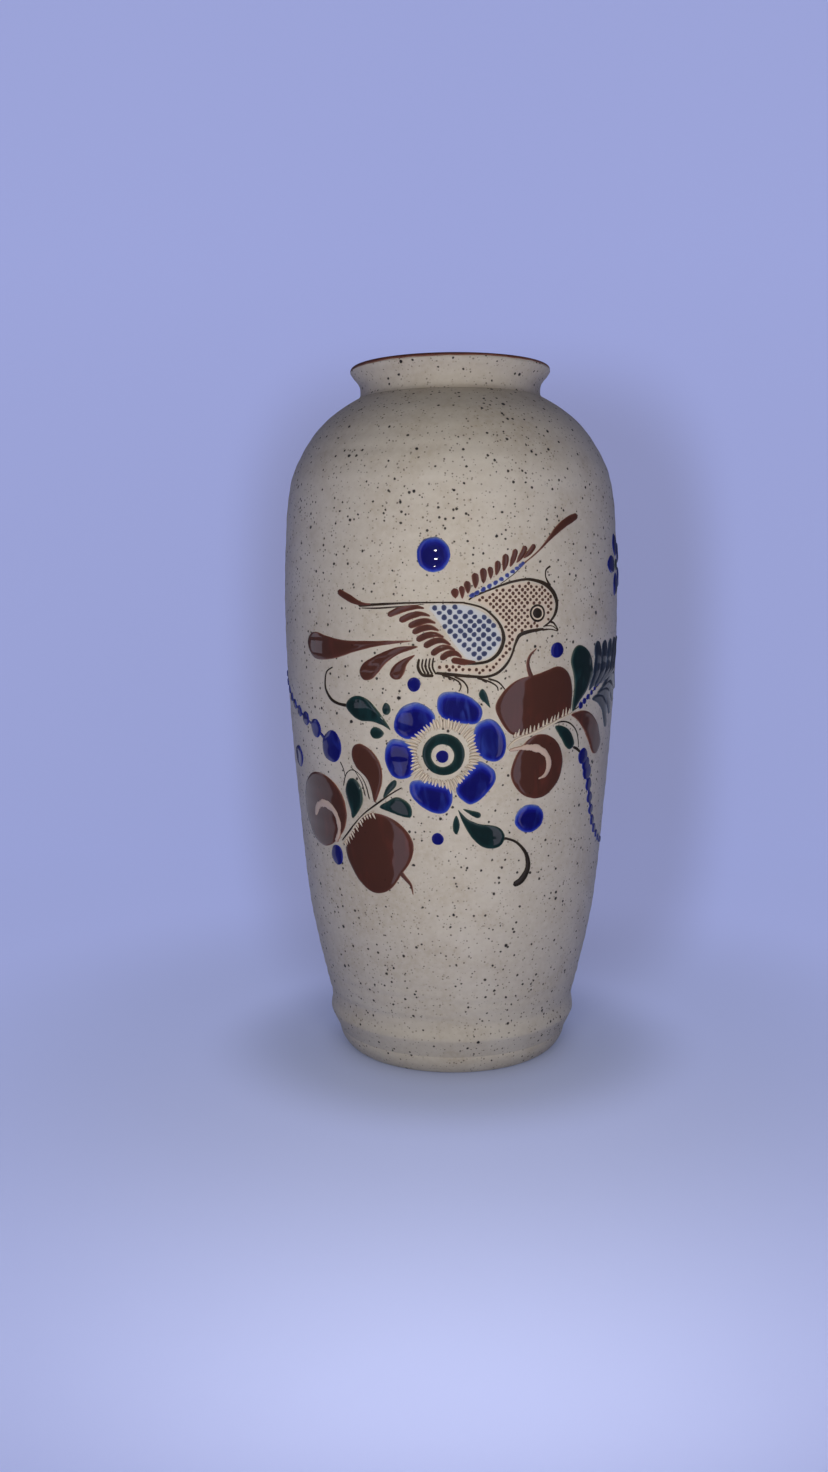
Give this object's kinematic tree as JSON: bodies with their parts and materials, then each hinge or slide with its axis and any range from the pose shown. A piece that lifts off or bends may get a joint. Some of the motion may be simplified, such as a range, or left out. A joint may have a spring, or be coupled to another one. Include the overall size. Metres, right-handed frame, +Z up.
{
  "type": "painted stoneware vase",
  "caption": "Tall ovoid stoneware vase with a short trumpet collar and a turned foot, painted in raised enamels with a bird, a large flower, buds, leaves and bead strings.",
  "frame": {"origin": "centre of the foot's bottom edge, on the surface the vase stands on", "axes": "+Z up along the pot's axis, front with the bird faces -Y, +X to the right seen from the front"},
  "size_m": [0.1236, 0.1243, 0.254],
  "materials": {
    "stoneware": "matte speckled stoneware, fine dark iron specks",
    "iron_wash": "satin iron-brown wash, uneven along its lower edge",
    "liner_glaze": "clear glossy liner",
    "cobalt_enamel": "glossy raised cobalt enamel",
    "green_enamel": "glossy raised dark green enamel",
    "slate_enamel": "glossy thin grey-blue enamel",
    "brown_enamel": "glossy red-brown enamel",
    "pale_wash": "thin pale blue-white wash",
    "brown_line": "trailed dark brown line",
    "black_line": "trailed black-brown line"
  },
  "bodies": {
    "root": {"vessel_body": "stoneware", "neck_collar": "stoneware", "foot_ring": "stoneware", "lip_wash": "iron_wash", "liner_glaze": "liner_glaze", "flower_petals": "cobalt_enamel", "flower_ring": "green_enamel", "flower_centre": "cobalt_enamel", "bird_outline": "brown_line", "bird_wing": "pale_wash", "wing_feathers": "brown_enamel", "raised_wing": "brown_enamel", "tail_feathers": "brown_enamel", "bird_eye": "black_line", "bird_legs": "brown_line", "plain_buds": "brown_enamel", "scroll_buds": "brown_enamel", "brown_leaves": "brown_enamel", "green_pods": "green_enamel", "green_leaves": "green_enamel", "small_leaves": "green_enamel", "leaf_fan": "slate_enamel", "stem_lines": "black_line", "blue_dots": "cobalt_enamel", "bead_strings": "cobalt_enamel", "side_flower": "cobalt_enamel", "back_flower": "cobalt_enamel", "back_leaves": "green_enamel"}
  },
  "joints": []
}
